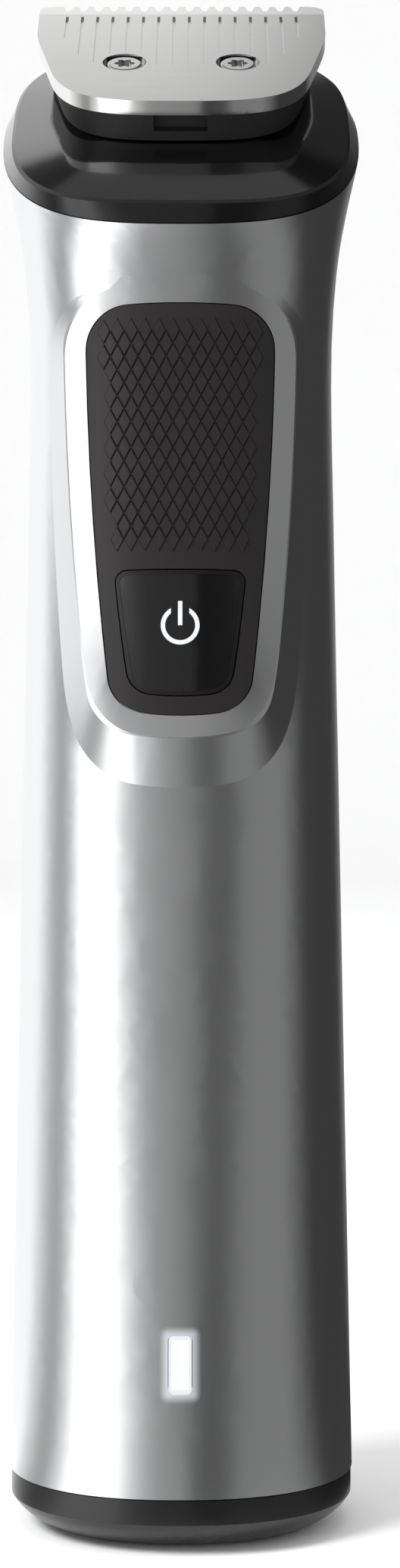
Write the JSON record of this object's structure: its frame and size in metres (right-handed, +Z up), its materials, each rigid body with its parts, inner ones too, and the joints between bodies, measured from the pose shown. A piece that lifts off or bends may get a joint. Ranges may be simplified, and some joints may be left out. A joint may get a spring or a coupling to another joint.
{
  "type": "beard trimmer",
  "caption": "Cordless beard trimmer with a slim tapered handle, grip panel with power button, charge light, and a tilted toothed cutting head driven by an eccentric motor.",
  "frame": {"origin": "middle of the footprint, on the surface the trimmer stands on", "axes": "+Z up the handle's axis to the cutting head; -Y towards the button side; +X to the right seen from the button side"},
  "size_m": [0.0387, 0.0353, 0.1684],
  "materials": {
    "silver_lacquer": "satin metallic silver lacquer",
    "black_gloss": "polished",
    "black_satin": "fine satin",
    "grip_rubber": "soft touch with a grooved diamond pattern",
    "button_lens": "polished",
    "icon_white": "printed",
    "light_pipe": "clear, lit from behind",
    "socket_black": "moulded",
    "gold_contact": "plated",
    "seal_rubber": "moulded",
    "blade_steel": "fine satin",
    "screw_steel": "turned",
    "holder_plastic": "satin",
    "spring_steel": "drawn wire",
    "carrier_plastic": "moulded",
    "zinc_steel": "zinc plated",
    "end_cap_plastic": "moulded",
    "brass_tag": "stamped",
    "magnet": "sintered",
    "bronze_bush": "sintered",
    "laminations": "stacked sheet",
    "copper_winding": "enamelled",
    "cam_plastic": "moulded",
    "chassis_plastic": "moulded",
    "cell_sleeve": "shrink sleeve",
    "washer_white": "punched",
    "nickel_strip": "rolled",
    "foam": "foam",
    "board_green": "solder mask",
    "part_black": "moulded",
    "part_tan": "ceramic",
    "led_white": "clear",
    "wire_red": "insulated"
  },
  "bodies": {
    "handle": {"front_shell": "silver_lacquer", "rear_shell": "silver_lacquer", "grip_panel": "grip_rubber", "light_window": "light_pipe", "base_cap": "black_satin", "charging_socket": "socket_black", "charge_contacts": "gold_contact", "collar": "black_gloss", "drive_seal": "seal_rubber", "motor_can": "zinc_steel", "motor_end_cap": "end_cap_plastic", "motor_terminals": "brass_tag", "motor_magnets": "magnet", "motor_bearings": "bronze_bush", "motor_screws": "screw_steel", "chassis": "chassis_plastic", "chassis_screws": "screw_steel", "battery_cell": "cell_sleeve", "battery_washer": "washer_white", "battery_top_tab": "nickel_strip", "battery_bottom_tab": "nickel_strip", "battery_cushion": "foam", "circuit_board": "board_green", "board_screws": "screw_steel", "tact_switch": "part_black", "status_led": "led_white", "controller_chip": "part_black", "capacitors": "part_black", "small_parts": "part_tan", "motor_leads": "wire_red", "charge_leads": "wire_red"},
    "rotor": {"motor_shaft": "zinc_steel", "armature_core": "laminations", "armature_windings": "copper_winding", "commutator": "copper_winding", "eccentric_cam": "cam_plastic", "drive_pin": "zinc_steel"},
    "button": {"power_button": "black_satin", "button_window": "button_lens", "power_icon": "icon_white", "switch_plunger": "carrier_plastic"},
    "head": {"head_holder": "holder_plastic", "guard_blade": "blade_steel", "blade_screws": "screw_steel", "pressure_spring": "spring_steel"},
    "cutter": {"cutter_blade": "blade_steel", "cutter_carrier": "carrier_plastic"}
  },
  "joints": [
    {"name": "motor_spin", "type": "hinge", "parent": "handle", "child": "rotor", "pos_m": [0, 0, 0.1235], "axis": [0, 0, 1], "continuous": true},
    {"name": "cutter_slide", "type": "slide", "parent": "head", "child": "cutter", "axis": [1, 0, 0], "range_m": [-0.0006, 0.0006]},
    {"name": "button_press", "type": "slide", "parent": "handle", "child": "button", "axis": [0, 1, 0], "range_m": [0, 0.0004], "stiffness_N_per_m": 600, "springref_m": -0.0003},
    {"name": "head_lift", "type": "slide", "parent": "handle", "child": "head", "axis": [0, -0.6018, 0.7986], "range_m": [0, 0.012]}
  ]
}
